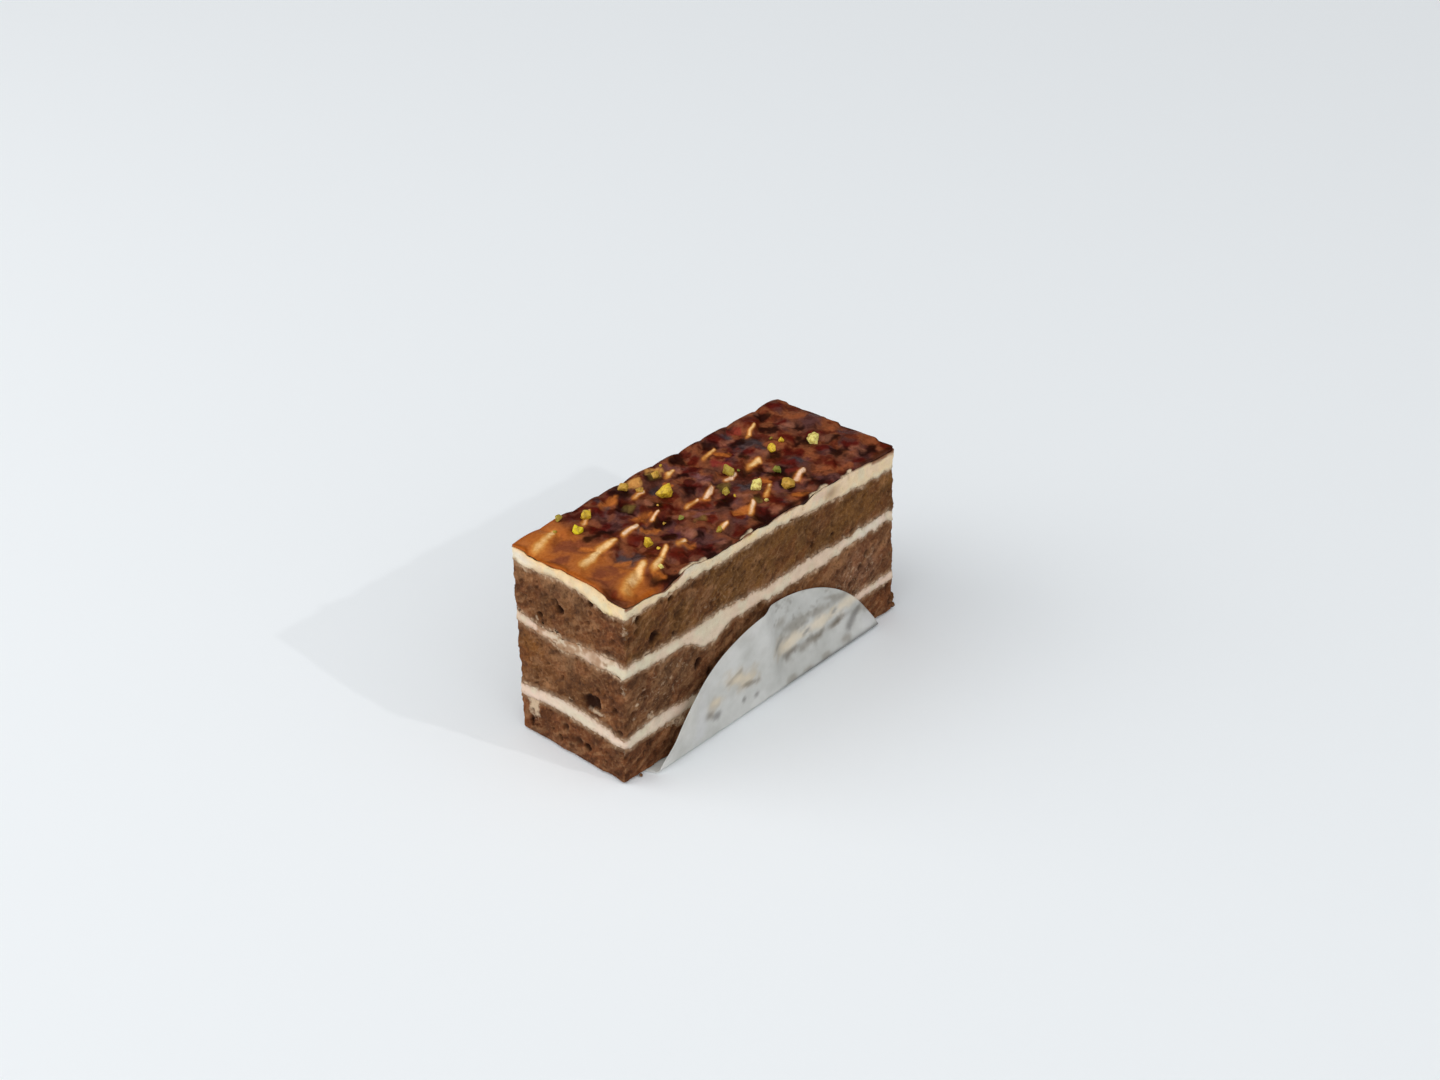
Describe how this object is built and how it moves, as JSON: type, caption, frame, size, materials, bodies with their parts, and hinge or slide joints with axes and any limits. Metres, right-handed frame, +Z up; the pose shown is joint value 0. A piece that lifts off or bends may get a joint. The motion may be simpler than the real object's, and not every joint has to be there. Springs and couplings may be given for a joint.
{
  "type": "slice of gateau",
  "caption": "Upright rectangular slice of cocoa sponge layered with cream, under a browned caramel glaze with chopped pistachio, on a round film liner folded up along its long sides.",
  "frame": {"origin": "on the surface the slice stands on, under the middle of the liner disc", "axes": "+X along the slice's length, -Y towards its front (the long cut side seen in the picture), +Z up"},
  "size_m": [0.1091, 0.047, 0.0586],
  "materials": {
    "sponge": "matte, open crumb",
    "cream": "soft satin",
    "glaze": "glossy browned caramel",
    "pistachio": "satin, chopped",
    "liner": "frosted translucent film"
  },
  "bodies": {
    "root": {"sponge_bottom": "sponge", "cream_lower": "cream", "sponge_middle": "sponge", "cream_upper": "cream", "sponge_top": "sponge", "cream_top": "cream", "glaze": "glaze", "liner": "liner"}
  },
  "joints": []
}
